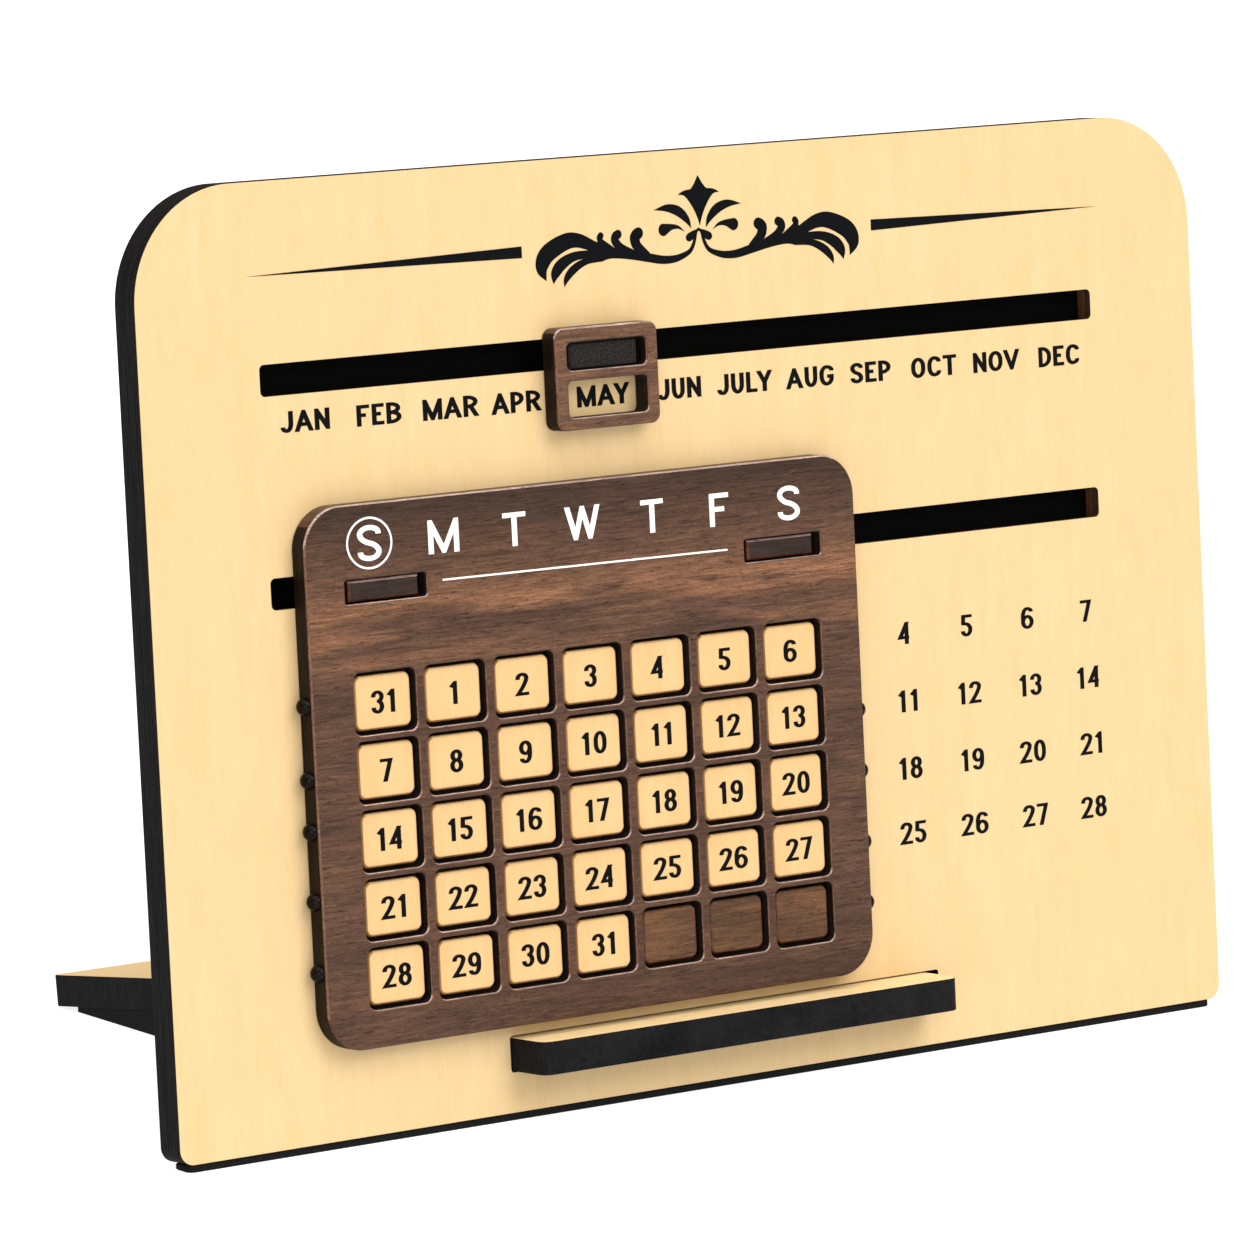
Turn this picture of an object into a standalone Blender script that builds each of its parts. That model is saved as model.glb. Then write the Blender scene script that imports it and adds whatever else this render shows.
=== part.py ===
# Perpetual desk calendar: a leaning board with a month marker and a week frame that slide along
# it, and number tiles that lift out of the frame. Metres, +Z up, the face of the board to -Y.
import math

import bmesh
import bpy
from mathutils import Matrix

for old in list(bpy.data.objects):
    bpy.data.objects.remove(old, do_unlink=True)

# Clearances
glue_line = 0.0001       # between pieces that are glued face to face
slide_gap = 0.0003       # between pieces that slide past each other
seat_gap = 0.0003        # round a pin, tongue or tenon in its hole
overrun = 0.001          # how far a cutter passes the face it opens

# Board: a veneered face, a core with the runner channels and a back cover
board_width = 0.250
board_height = 0.178
board_lean = math.radians(4.7)
top_corner = 0.0215
bottom_corner = 0.003
face_thickness = 0.0016
core_thickness = 0.0022
cover_thickness = 0.0026
slot_margin = 0.0262     # from the board's side to the end of a slot
slot_height = 0.0059
slot_corner = 0.001
channel_lip = 0.0024     # how much taller than its slot a channel is, above and below

# Feet of the board
strip_height = 0.0016
strip_inset = 0.002
strip_setback = 0.0006   # from the board's front and back faces
strip_corner = 0.0015

# Ledge: the tongue of a plate that is put through the board from behind
stand_sheet = 0.0064
ledge_bottom = 0.0079
ledge_width = 0.100
ledge_reach = 0.0105
ledge_corner = 0.0025
ledge_slot_play = 0.003  # at the right end of the ledge's slot
ledge_slot_corner = 0.0006
shoulder_inset = 0.0015  # from the foot's side to the end of the ledge's shoulder
shoulder_depth = 0.022

# Stand behind the board
foot_width = 0.129
foot_reach = 0.137       # from the board's lower front edge to the foot's rear edge
foot_slope = math.radians(8.5)
foot_lift = 0.0003
foot_corner = 0.001
rib_inset = 0.0012
rib_tip = 0.0006         # height of the rib's rear end
tenon_rise = 0.0012      # from the notch up to the rib's tenon
tenon_height = 0.0018

# Walnut sheet that both sliding pieces are cut from
walnut_sheet = 0.004
edge_bevel = 0.00045
window_bevel = 0.0003

# Runners: T bars that hold the sliding pieces to the board
runner_length = 0.0158
tab_recess = 0.0008      # from the walnut face to the runner's front end
tab_bevel = 0.0004
mortise_play = 0.0013    # at each end of a runner in its mortise
mortise_gap = 0.0003     # above and below it
mortise_corner = 0.0006

# Week frame and its tiles
columns = 7
rows = 5
blank_tiles = 3
column_pitch = 0.01585
row_pitch = 0.01275
tile_width = 0.0127
tile_height = 0.01025
tile_thickness = 0.0018
tile_corner = 0.0015
tile_bevel = 0.0005
tile_gap_side = 0.00065
tile_gap_end = 0.0007
frame_side = 0.0085
frame_header = 0.0306
frame_footer = 0.00655
frame_corner = 0.008
frame_over_ledge = 0.0026
week_start = 0.0148      # from the left end of the slot to the left runner
runner_drop = 0.0154     # from the frame's top edge to the middle of its slot
runner_spread = 0.0462   # from the frame's middle to a runner's middle
week_tab_height = 0.0039
week_tab_drops = (0, 0.0007)  # how far the left and right tabs hang below their necks
tray_thickness = 0.001
tray_lap = 0.003

# Dome-headed studs in the frame's sides: each one's row and how far it is above the row's middle
stud_radius = 0.0017
stud_shank_radius = 0.0006
stud_length = 0.004
stud_setback = 0.0018    # from the frame's back to the middle of a stud
left_studs = {1: 0.0006, 2: -0.0003, 3: 0.0029, 4: 0.0027, 5: 0.0022}
right_studs = {2: -0.0003, 3: 0.0006, 4: -0.0005, 5: 0.0004}

# Month marker
marker_width = 0.0239
marker_height = 0.0193
marker_corner = 0.0019
month_start = 0.0678     # from the left end of the slot to its runner
month_slot_rise = 0.1416
window_width = 0.0185
runner_window_height = 0.0053
label_window_height = 0.007
marker_top_rail = 0.0028
marker_middle_rail = 0.0019
marker_window_corner = 0.0011
marker_top_rise = 0.0049  # from the middle of the slot to the marker's top edge
month_tab_height = 0.0051
month_tab_drop = 0.00045
month_tab_recess = 0.0011

# Steps of the round corners
wide_steps = 8
corner_steps = 3
bore_steps = 8
dome_steps = 12

# Worked out from the sizes above
core_front = face_thickness + glue_line
core_back = core_front + core_thickness
cover_front = core_back + glue_line
board_thickness = cover_front + cover_thickness
walnut_back = -slide_gap
walnut_front = walnut_back - walnut_sheet
slot_width = board_width - 2 * slot_margin
frame_shift = week_start + runner_length / 2 + runner_spread - slot_width / 2
marker_shift = month_start + runner_length / 2 - slot_width / 2
shoulder_width = foot_width - 2 * shoulder_inset
ledge_top = ledge_bottom + stand_sheet
ledge_middle = (ledge_bottom + ledge_top) / 2
frame_width = columns * column_pitch + 2 * frame_side
frame_height = rows * row_pitch + frame_header + frame_footer
frame_bottom = ledge_top + frame_over_ledge
frame_top = frame_bottom + frame_height
grid_bottom = frame_bottom + frame_footer
week_slot_rise = frame_top - runner_drop
neck_height = slot_height - 2 * slide_gap
pocket_depth = tray_thickness + glue_line
tray_front = walnut_back - pocket_depth
tile_back = tray_front - glue_line
rib_width = stand_sheet
rib_place = foot_width / 2 - rib_inset - rib_width / 2
stud_depth = walnut_back - stud_setback
front_reach = ledge_reach * math.cos(board_lean) - ledge_bottom * math.sin(board_lean)
middle_depth = (foot_reach + stand_sheet * math.sin(foot_slope) - front_reach) / 2


def make_material(name, colour, roughness, metallic=0.0):
    material = bpy.data.materials.new(name)
    material.use_nodes = True
    shader = material.node_tree.nodes["Principled BSDF"]
    shader.inputs["Base Color"].default_value = (*colour, 1.0)
    shader.inputs["Roughness"].default_value = roughness
    shader.inputs["Metallic"].default_value = metallic
    material.diffuse_color = (*colour, 1.0)
    return material


cream_veneer = make_material("cream_veneer", (0.93, 0.76, 0.47), 0.5)
black_board = make_material("black_board", (0.02, 0.02, 0.025), 0.6)
brown_core = make_material("brown_core", (0.16, 0.08, 0.04), 0.7)
walnut = make_material("walnut", (0.16, 0.09, 0.06), 0.45)
dark_walnut = make_material("dark_walnut", (0.06, 0.04, 0.035), 0.4)
charcoal = make_material("charcoal", (0.04, 0.04, 0.045), 0.9)
maple = make_material("maple", (0.90, 0.68, 0.38), 0.45)
black_brass = make_material("black_brass", (0.03, 0.025, 0.02), 0.2, 0.8)
black_rubber = make_material("black_rubber", (0.015, 0.015, 0.015), 0.85)

# The board's lower front edge is this frame's origin; +Y goes into the board and +Z up along it
board_frame = bpy.data.objects.new("board_frame", None)
bpy.context.scene.collection.objects.link(board_frame)
board_frame.location = (0, -middle_depth, strip_height)
board_frame.rotation_euler = (-board_lean, 0, 0)
bpy.context.view_layer.update()


def ground_height(depth):
    """Height, in the board's frame, of the ground under a point this far behind its face."""
    return (depth * math.sin(board_lean) - strip_height) / math.cos(board_lean)


def add_object(name, shape, material, parent=board_frame):
    """Closes a bmesh into an object that is carried by parent."""
    bmesh.ops.recalc_face_normals(shape, faces=shape.faces[:])
    mesh = bpy.data.meshes.new(name)
    shape.to_mesh(mesh)
    shape.free()
    item = bpy.data.objects.new(name, mesh)
    bpy.context.scene.collection.objects.link(item)
    item.parent = parent
    if material:
        mesh.materials.append(material)
    return item


def cut(item, shape):
    """Takes the closed shapes in a bmesh out of an object."""
    cutter = add_object(item.name + "_cutter", shape, None)
    cutter.parent = item.parent
    cutter.hide_render = True
    cutter.display_type = "WIRE"
    hole = item.modifiers.new(cutter.name, "BOOLEAN")
    hole.operation = "DIFFERENCE"
    hole.solver = "EXACT"
    hole.object = cutter


def rounded(width, height, radii, middle=(0, 0), steps=corner_steps):
    """Points round a rectangle whose four corners, from the upper right one, have these radii."""
    points = []
    for turn, (side, end) in enumerate(((1, 1), (-1, 1), (-1, -1), (1, -1))):
        radius = radii[turn]
        for step in range(steps + 1):
            angle = math.pi / 2 * (turn + step / steps)
            across = side * (width / 2 - radius) + radius * math.cos(angle)
            along = end * (height / 2 - radius) + radius * math.sin(angle)
            points.append((middle[0] + across, middle[1] + along))
    return points


def upright(points, depth):
    """Puts an outline at a depth in the board's frame."""
    return [(x, depth, z) for x, z in points]


def loft(shape, sections):
    """Adds one closed body through sections of as many points each."""
    rings = []
    for section in sections:
        corners = [shape.verts.new(point) for point in section]
        rings.append([shape.edges.new((a, b)) for a, b in zip(corners, corners[1:] + corners[:1])])
    for near, far in zip(rings, rings[1:]):
        bmesh.ops.bridge_loops(shape, edges=near + far)
    for ring in (rings[0], rings[-1]):
        bmesh.ops.contextual_create(shape, geom=ring)
    return shape


def plate(shape, width, height, corner, back, front, middle=(0, 0), bevel=0, steps=corner_steps):
    """Adds a flat plate with round corners, its front edge bevelled if a bevel is given."""
    outline = rounded(width, height, (corner,) * 4, middle, steps)
    sections = [upright(outline, back)]
    if bevel:
        sections.append(upright(outline, front + bevel))
        outline = rounded(width - 2 * bevel, height - 2 * bevel, (corner - bevel,) * 4, middle, steps)
    sections.append(upright(outline, front))
    return loft(shape, sections)


def flared(shape, width, height, corner, back, front, middle, bevel=window_bevel):
    """Adds the cutter of a window whose front edge is bevelled."""
    straight = rounded(width, height, (corner,) * 4, middle)
    spread = 2 * (bevel + overrun)
    wide = rounded(width + spread, height + spread, (corner + spread / 2,) * 4, middle)
    return loft(shape, [
        upright(straight, back + overrun),
        upright(straight, front + bevel),
        upright(wide, front - overrun),
    ])


def profile(shape, points, middle, width):
    """Adds a body of one side-view outline, given as depth and height, and this width along X."""
    sections = [[(middle + side * width / 2, y, z) for y, z in points] for side in (-1, 1)]
    return loft(shape, sections)


def board_layer(name, front, thickness, material):
    """One layer of the board, with the hole for the ledge."""
    radii = (top_corner, top_corner, bottom_corner, bottom_corner)
    outline = rounded(board_width, board_height, radii, (0, board_height / 2), wide_steps)
    shape = loft(bmesh.new(), [upright(outline, front), upright(outline, front + thickness)])
    layer = add_object(name, shape, material)
    hole_height = stand_sheet + 2 * seat_gap
    hole_width = ledge_width + seat_gap + ledge_slot_play
    hole_middle = ((ledge_slot_play - seat_gap) / 2, ledge_middle)
    cut(layer, plate(bmesh.new(), hole_width, hole_height, ledge_slot_corner,
                     front + thickness + overrun, front - overrun, hole_middle))
    return layer


def make_board():
    face = board_layer("front_panel", 0, face_thickness, cream_veneer)
    core = board_layer("channel_core", core_front, core_thickness, brown_core)
    cover = board_layer("back_cover", cover_front, cover_thickness, black_board)
    slots, channels = bmesh.new(), bmesh.new()
    for rise in (week_slot_rise, month_slot_rise):
        plate(slots, slot_width, slot_height, slot_corner, core_front + overrun, -overrun, (0, rise))
        plate(channels, slot_width, slot_height + 2 * channel_lip, slot_corner,
              cover_front + overrun, face_thickness - overrun, (0, rise))
    cut(face, slots)
    cut(core, channels)
    return cover


def make_strip():
    """The anti-slip strip: its top follows the board's lower edge and its underside is level."""
    depth = board_thickness - 2 * strip_setback
    plan = rounded(board_width - 2 * strip_inset, depth, (strip_corner,) * 4, (0, board_thickness / 2))
    lower = [(x, y, ground_height(y)) for x, y in plan]
    upper = [(x, y, -glue_line) for x, y in plan]
    add_object("base_strip", loft(bmesh.new(), [lower, upper]), black_rubber)


def make_ledge():
    """A plate with a tongue through the board and shoulders against the board's back."""
    shoulder_front = board_thickness + glue_line
    shoulder_back = shoulder_front + shoulder_depth
    half = ledge_width / 2
    plan = []
    for side in (-1, 1):
        turns = [math.pi / 2 * step / corner_steps for step in range(corner_steps + 1)]
        nose = [(side * (half - ledge_corner * (1 - math.sin(turn))),
                 -ledge_reach + ledge_corner * (1 - math.cos(turn))) for turn in turns]
        shoulder = [
            (side * half, shoulder_front),
            (side * shoulder_width / 2, shoulder_front),
            (side * shoulder_width / 2, shoulder_back),
        ]
        branch = nose + shoulder
        plan += branch[::-1] if side < 0 else branch
    low = [(x, y, ledge_bottom) for x, y in plan]
    high = [(x, y, ledge_top) for x, y in plan]
    add_object("ledge_plate", loft(bmesh.new(), [low, high]), cream_veneer)


def make_stand(cover):
    """The sloping foot plate and the two ribs under it, in the board's frame."""
    tilt = foot_slope - board_lean
    rear_depth = foot_reach * math.cos(board_lean) - (foot_lift - strip_height) * math.sin(board_lean)
    rear_rise = foot_reach * math.sin(board_lean) + (foot_lift - strip_height) * math.cos(board_lean)
    foot_length = (rear_depth - board_thickness - seat_gap) / math.cos(tilt)

    def under_foot(depth, below):
        """Height of the line this far below the foot plate's underside."""
        return rear_rise + (rear_depth - depth) * math.tan(tilt) - below / math.cos(tilt)

    plan = rounded(foot_width, foot_length, (foot_corner,) * 4, (0, -foot_length / 2))
    turn = Matrix.Translation((0, rear_depth, rear_rise)) @ Matrix.Rotation(-tilt, 4, "X")
    shape = loft(bmesh.new(), [[(x, y, 0) for x, y in plan], [(x, y, stand_sheet) for x, y in plan]])
    bmesh.ops.transform(shape, matrix=turn, verts=shape.verts[:])
    add_object("foot_plate", shape, cream_veneer)

    rib_front = board_thickness + seat_gap
    notch_back = board_thickness + glue_line + shoulder_depth + seat_gap
    notch_low = ledge_bottom - seat_gap
    notch_high = ledge_top + seat_gap
    tenon_low = notch_high + tenon_rise
    tenon_high = tenon_low + tenon_height
    tenon_front = cover_front + seat_gap
    # The rib ends where only its tip's height is left between the ground and the foot plate
    rib_rear = rear_depth - (rib_tip + slide_gap) / math.sin(foot_slope)
    outline = [
        (rib_front, ground_height(rib_front)),
        (rib_rear, ground_height(rib_rear)),
        (rib_rear, under_foot(rib_rear, glue_line)),
        (rib_front, under_foot(rib_front, glue_line)),
        (rib_front, tenon_high),
        (tenon_front, tenon_high),
        (tenon_front, tenon_low),
        (rib_front, tenon_low),
        (rib_front, notch_high),
        (notch_back, notch_high),
        (notch_back, notch_low),
        (rib_front, notch_low),
    ]
    mortises = bmesh.new()
    for side, name in ((-1, "rib_left"), (1, "rib_right")):
        shape = profile(bmesh.new(), outline, side * rib_place, rib_width)
        add_object(name, shape, black_board)
        plate(mortises, rib_width + 2 * seat_gap, tenon_height + 2 * seat_gap, seat_gap,
              board_thickness + overrun, cover_front - overrun,
              (side * rib_place, (tenon_low + tenon_high) / 2))
    cut(cover, mortises)


def make_runner(name, middle, slot_middle, tab_height, tab_drop, recess, material):
    """A T bar: flange in the core's channel, neck in the slot, and a tab as its front end."""
    front = walnut_front + recess
    shoulder = walnut_back + glue_line
    flange_front = core_front - glue_line + slide_gap
    flange_back = cover_front - slide_gap
    neck = neck_height / 2
    flange = neck + channel_lip
    tab_low = -neck - tab_drop
    tab_high = tab_low + tab_height
    points = [
        (front, tab_low), (front, tab_high), (shoulder, tab_high),
        (shoulder, neck), (flange_front, neck), (flange_front, flange),
        (flange_back, flange), (flange_back, -flange), (flange_front, -flange), (flange_front, -neck),
    ]
    if tab_drop:
        points += [(shoulder, -neck), (shoulder, tab_low)]
    shape = profile(bmesh.new(), [(y, slot_middle + z) for y, z in points], middle, runner_length)
    rim = [edge for edge in shape.edges
           if all(abs(corner.co.y - front) < glue_line for corner in edge.verts)]
    bmesh.ops.bevel(shape, geom=rim, offset=tab_bevel, segments=1, profile=0.5,
                    affect="EDGES", material=-1)
    add_object(name, shape, material)


def tab_middle(slot_middle, tab_height, tab_drop):
    """Middle height of a runner's tab."""
    return slot_middle - neck_height / 2 - tab_drop + tab_height / 2


def make_marker():
    marker_top = month_slot_rise + marker_top_rise
    middle = (marker_shift, marker_top - marker_height / 2)
    shape = plate(bmesh.new(), marker_width, marker_height, marker_corner, walnut_back, walnut_front,
                  middle, edge_bevel)
    marker = add_object("month_marker", shape, walnut)
    upper = marker_top - marker_top_rail - runner_window_height / 2
    lower = upper - (runner_window_height + label_window_height) / 2 - marker_middle_rail
    windows = bmesh.new()
    for height, place in ((runner_window_height, upper), (label_window_height, lower)):
        flared(windows, window_width, height, marker_window_corner, walnut_back, walnut_front,
               (marker_shift, place))
    cut(marker, windows)
    make_runner("month_runner", marker_shift, month_slot_rise, month_tab_height, month_tab_drop,
                month_tab_recess, charcoal)


def cell(row, column):
    """Middle of a window of the week frame, counted from the top left."""
    across = frame_shift + (column - (columns + 1) / 2) * column_pitch
    return across, grid_bottom + (rows - row + 0.5) * row_pitch


def make_frame():
    middle = (frame_shift, (frame_bottom + frame_top) / 2)
    shape = plate(bmesh.new(), frame_width, frame_height, frame_corner, walnut_back, walnut_front,
                  middle, edge_bevel, wide_steps)
    frame = add_object("week_frame", shape, walnut)

    windows = bmesh.new()
    for row in range(1, rows + 1):
        for column in range(1, columns + 1):
            flared(windows, tile_width + 2 * tile_gap_side, tile_height + 2 * tile_gap_end,
                   tile_corner, walnut_back, walnut_front, cell(row, column))
    for side, tab_drop in zip((-1, 1), week_tab_drops):
        place = frame_shift + side * runner_spread
        flared(windows, runner_length + 2 * mortise_play, week_tab_height + 2 * mortise_gap,
               mortise_corner, walnut_back, walnut_front,
               (place, tab_middle(week_slot_rise, week_tab_height, tab_drop)))
    cut(frame, windows)

    grid_middle = (frame_shift, grid_bottom + rows * row_pitch / 2)
    tray_width = columns * column_pitch + 2 * tray_lap
    tray_height = rows * row_pitch + 2 * tray_lap
    cut(frame, plate(bmesh.new(), tray_width + 2 * seat_gap, tray_height + 2 * seat_gap,
                     tile_corner, walnut_back + overrun, walnut_back - pocket_depth, grid_middle))
    shape = plate(bmesh.new(), tray_width, tray_height, tile_corner, walnut_back,
                  walnut_back - tray_thickness, grid_middle)
    add_object("tile_tray", shape, walnut)

    for side, name, tab_drop in zip((-1, 1), ("week_runner_left", "week_runner_right"), week_tab_drops):
        make_runner(name, frame_shift + side * runner_spread, week_slot_rise, week_tab_height,
                    tab_drop, tab_recess, dark_walnut)
    return frame


def make_studs(frame):
    """Studs pressed into the frame's sides, near the ends of the rows."""
    # A turned profile from the shank's inner end to the top of the dome: radius and distance out
    points = [(0, -stud_length), (stud_shank_radius, -stud_length), (stud_shank_radius, glue_line)]
    dome_rings = dome_steps // 4
    for step in range(dome_rings + 1):
        angle = math.pi / 2 * step / dome_rings
        points.append((stud_radius * math.cos(angle), glue_line + stud_radius * math.sin(angle)))
    hole_radius = stud_shank_radius + seat_gap
    hole_depth = stud_length + seat_gap
    bore = Matrix.Translation((0, 0, (overrun - hole_depth) / 2))
    holes = bmesh.new()
    for side, lifts, name in ((-1, left_studs, "stud_left"), (1, right_studs, "stud_right")):
        edge = frame_shift + side * frame_width / 2
        turn = Matrix.Rotation(side * math.pi / 2, 4, "Y")
        for row, lift in lifts.items():
            place = Matrix.Translation((edge, stud_depth, cell(row, 1)[1] + lift)) @ turn
            shape = bmesh.new()
            corners = [shape.verts.new((radius, 0, along)) for radius, along in points]
            edges = [shape.edges.new(pair) for pair in zip(corners, corners[1:])]
            bmesh.ops.spin(shape, geom=corners + edges, axis=(0, 0, 1), cent=(0, 0, 0),
                           angle=2 * math.pi, steps=dome_steps, use_merge=True)
            bmesh.ops.remove_doubles(shape, verts=shape.verts[:], dist=glue_line / 10)
            bmesh.ops.transform(shape, matrix=place, verts=shape.verts[:])
            add_object(f"{name}_{row}", shape, black_brass)
            bmesh.ops.create_cone(holes, cap_ends=True, segments=bore_steps, radius1=hole_radius,
                                  radius2=hole_radius, depth=hole_depth + overrun, matrix=place @ bore)
    cut(frame, holes)


def make_tiles():
    """One tile to a window, each with its origin in the middle of its back."""
    count = rows * columns
    for row in range(1, rows + 1):
        for column in range(1, columns + 1):
            number = (row - 1) * columns + column
            blank = number > count - blank_tiles
            name = f"{'blank_tile' if blank else 'date_tile'}_{row}_{column}"
            shape = plate(bmesh.new(), tile_width, tile_height, tile_corner, 0,
                          -tile_thickness, (0, 0), tile_bevel)
            tile = add_object(name, shape, walnut if blank else maple)
            across, up = cell(row, column)
            tile.location = (across, tile_back, up)


make_strip()
make_ledge()
make_stand(make_board())
make_marker()
make_studs(make_frame())
make_tiles()
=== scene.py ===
import math

import bmesh
import bpy
from mathutils import Euler, Matrix, Vector


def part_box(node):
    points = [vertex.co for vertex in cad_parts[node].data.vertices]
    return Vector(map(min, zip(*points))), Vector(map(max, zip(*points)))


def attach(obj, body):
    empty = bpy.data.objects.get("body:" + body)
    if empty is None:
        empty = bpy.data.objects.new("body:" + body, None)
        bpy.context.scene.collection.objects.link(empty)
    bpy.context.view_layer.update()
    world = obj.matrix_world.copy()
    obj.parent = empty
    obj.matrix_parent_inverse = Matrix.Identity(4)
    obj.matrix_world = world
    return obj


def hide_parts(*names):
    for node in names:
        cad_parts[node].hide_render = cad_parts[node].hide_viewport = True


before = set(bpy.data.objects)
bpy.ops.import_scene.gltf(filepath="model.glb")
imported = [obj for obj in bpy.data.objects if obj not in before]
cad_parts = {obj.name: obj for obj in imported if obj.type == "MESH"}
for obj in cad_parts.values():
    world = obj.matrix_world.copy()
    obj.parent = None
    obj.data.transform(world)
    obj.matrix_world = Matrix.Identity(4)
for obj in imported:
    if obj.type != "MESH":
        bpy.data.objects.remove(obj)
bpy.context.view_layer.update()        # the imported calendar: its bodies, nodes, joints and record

scene = bpy.context.scene
scene.view_settings.view_transform = "Standard"

millimetre = 0.001
mergeDistance = 1e-6

board = {
    "width": 0.250,
    "height": 0.178,
    "lean": math.radians(4.7),
    "topCorner": 0.0215,
    "bottomCorner": 0.003,
    "cornerSteps": 28,
    "faceThickness": 0.0016,
    "coreThickness": 0.0022,
    "coverThickness": 0.0026,
    "glueLine": 0.0001,
    "rim": 0.00012,              # how far the cut edges are eased
    "slotWidth": 0.1976,
    "slotHeight": 0.0059,
    "slotCorner": 0.001,
    "channelLip": 0.0024,
    "slotRises": (0.1024, 0.1416),
    "ledgeHole": (0.1033, 0.007, 0.0006, (0.00135, 0.0111)),     # width, height, corner and middle
}

# The board's lower front edge is the start of its own axes: +Y into the board, +Z up along it
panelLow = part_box("front_panel")[0]
boardPlace = (
    Matrix.Translation((0, panelLow.y, panelLow.z + board["faceThickness"] * math.sin(board["lean"])))
    @ Matrix.Rotation(-board["lean"], 4, "X")
)
boardAxes = boardPlace.inverted()


# Materials


def addNode(tree, kind, inputs=None, **settings):
    node = tree.nodes.new(kind)
    for name, value in settings.items():
        setattr(node, name, value)
    for name, value in (inputs or {}).items():
        node.inputs[name].default_value = value
    return node


def startMaterial(name, roughness, specular, metallic=0.0):
    material = bpy.data.materials.new(name)
    material.use_nodes = True
    shader = material.node_tree.nodes["Principled BSDF"]
    shader.inputs["Roughness"].default_value = roughness
    shader.inputs["Specular IOR Level"].default_value = specular
    shader.inputs["Metallic"].default_value = metallic
    return material, material.node_tree, shader


def boardPoint(tree, size, offset=(0, 0, 0)):
    """A place on the upright board, counted in grain sizes along its width, depth and height."""
    place = addNode(tree, "ShaderNodeTexCoord")
    mapping = addNode(tree, "ShaderNodeMapping", {
        "Rotation": (-board["lean"], 0, 0), "Scale": size, "Location": offset,
    }, vector_type="TEXTURE")
    tree.links.new(place.outputs["Object"], mapping.inputs["Vector"])
    return mapping.outputs["Vector"]


def addNoise(tree, size, detail=4.0, roughness=0.55, distortion=0.0, offset=(0, 0, 0)):
    noise = addNode(tree, "ShaderNodeTexNoise", {
        "Scale": 1.0, "Detail": detail, "Roughness": roughness, "Distortion": distortion,
    })
    tree.links.new(boardPoint(tree, size, offset), noise.inputs["Vector"])
    return noise.outputs["Fac"]


def addCells(tree, size, feature="F1", offset=(0, 0, 0)):
    cells = addNode(tree, "ShaderNodeTexVoronoi", {"Scale": 1.0}, feature=feature)
    tree.links.new(boardPoint(tree, size, offset), cells.inputs["Vector"])
    return cells.outputs["Distance"]


def addRamp(tree, value, stops):
    ramp = addNode(tree, "ShaderNodeValToRGB")
    elements = ramp.color_ramp.elements
    while len(elements) < len(stops):
        elements.new(0.5)
    for element, (place, colour) in zip(elements, stops):
        element.position = place
        element.color = (*colour, 1.0) if isinstance(colour, tuple) else (colour, colour, colour, 1.0)
    tree.links.new(value, ramp.inputs["Fac"])
    return ramp.outputs["Color"]


def addMix(tree, amount, first, second, blend="MIX"):
    mix = addNode(tree, "ShaderNodeMix", data_type="RGBA", blend_type=blend)
    for slot, value in ((0, amount), (6, first), (7, second)):
        if isinstance(value, bpy.types.NodeSocket):
            tree.links.new(value, mix.inputs[slot])
        elif isinstance(value, tuple):
            mix.inputs[slot].default_value = (*value, 1.0)
        else:
            mix.inputs[slot].default_value = value
    return mix.outputs[2]


def addMaths(tree, operation, *values):
    node = addNode(tree, "ShaderNodeMath", operation=operation)
    for slot, value in enumerate(values):
        if isinstance(value, bpy.types.NodeSocket):
            tree.links.new(value, node.inputs[slot])
        else:
            node.inputs[slot].default_value = value
    return node.outputs[0]


def addBump(tree, shader, height, strength, distance):
    bump = addNode(tree, "ShaderNodeBump", {"Strength": strength, "Distance": distance})
    tree.links.new(height, bump.inputs["Height"])
    tree.links.new(bump.outputs["Normal"], shader.inputs["Normal"])


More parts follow.
